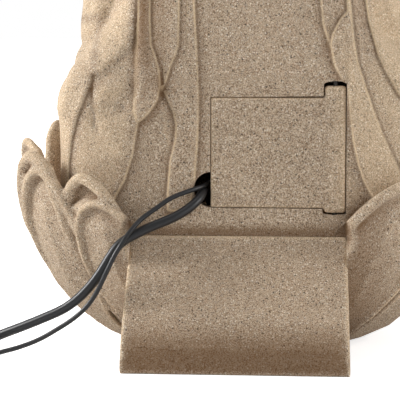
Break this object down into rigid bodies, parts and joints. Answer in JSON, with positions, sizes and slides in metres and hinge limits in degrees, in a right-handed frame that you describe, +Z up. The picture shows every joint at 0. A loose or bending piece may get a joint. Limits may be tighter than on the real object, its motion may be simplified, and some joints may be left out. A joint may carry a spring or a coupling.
{
  "type": "tabletop water fountain",
  "caption": "Tabletop water fountain: a seated robed figure in a lotus basin, a lit bowl on its lap, and a hinged rear door over the submersible pump.",
  "frame": {"origin": "on the table plane under the middle of the lotus basin, its four pads and its rear foot together, the cords, plug and connector left out", "axes": "+Z up; the figure faces -Y, so the access door faces +Y; +X is the figure's own left side, the side the cords leave on"},
  "size_m": [0.3935, 0.3152, 0.42],
  "materials": {
    "sandstone_resin": "matte",
    "black_plastic": "satin",
    "black_cord": "satin",
    "black_rubber": "matte",
    "steel": "satin",
    "magnet_nickel": "satin",
    "copper": "satin",
    "ferrite": "matte",
    "ceramic": "satin",
    "potting_resin": "satin",
    "clear_plastic": "gloss",
    "lamp_board": "matte",
    "clear_hose": "satin"
  },
  "bodies": {
    "casting": {"chamber_seal": "black_rubber", "delivery_hose": "clear_hose", "foot_pad_1": "black_rubber", "foot_pad_2": "black_rubber", "foot_pad_3": "black_rubber", "foot_pad_4": "black_rubber", "front_shaft_bush": "ceramic", "jamb_magnet": "magnet_nickel", "lamp_board": "lamp_board", "lamp_connector": "black_cord", "lamp_cord": "black_cord", "lamp_cord_coil": "black_cord", "lamp_cord_tie": "black_plastic", "lamp_housing": "black_plastic", "lamp_lead_inner": "black_cord", "lamp_lens": "clear_plastic", "lotus_basin": "sandstone_resin", "lower_hinge_pin": "steel", "pump_body": "black_plastic", "pump_cord": "black_cord", "pump_cord_coil": "black_cord", "pump_cord_gland": "black_cord", "pump_cord_tie": "black_plastic", "pump_cover": "black_plastic", "pump_lead_inner": "black_cord", "pump_plug": "black_cord", "pump_potting": "potting_resin", "rear_foot": "sandstone_resin", "rear_shaft_bush": "ceramic", "rotor_shaft": "ceramic", "seated_figure": "sandstone_resin", "spout_gasket": "black_rubber", "spout_nozzle": "black_plastic", "spout_nut": "black_plastic", "stator_coil": "copper", "stator_core": "steel", "suction_cup_1": "black_rubber", "suction_cup_2": "black_rubber", "suction_cup_3": "black_rubber", "suction_cup_4": "black_rubber", "upper_hinge_pin": "steel", "water_bowl": "sandstone_resin"},
    "door": {"access_door": "sandstone_resin", "door_magnet": "magnet_nickel"},
    "rotor": {"impeller": "black_plastic", "rotor_magnet": "ferrite"},
    "dial": {"flow_dial": "black_plastic"}
  },
  "joints": [
    {"name": "door_hinge", "type": "hinge", "parent": "casting", "child": "door", "pos_m": [-0.0566, 0.0845, 0.125], "axis": [0, 0, 1], "range_deg": [0, 95]},
    {"name": "rotor_spin", "type": "hinge", "parent": "casting", "child": "rotor", "pos_m": [0, 0.04, 0.0315], "axis": [0, 1, 0], "continuous": true},
    {"name": "dial_turn", "type": "hinge", "parent": "casting", "child": "dial", "pos_m": [0, 0.0146, 0.0315], "axis": [0, 1, 0], "range_deg": [0, 60]}
  ]
}
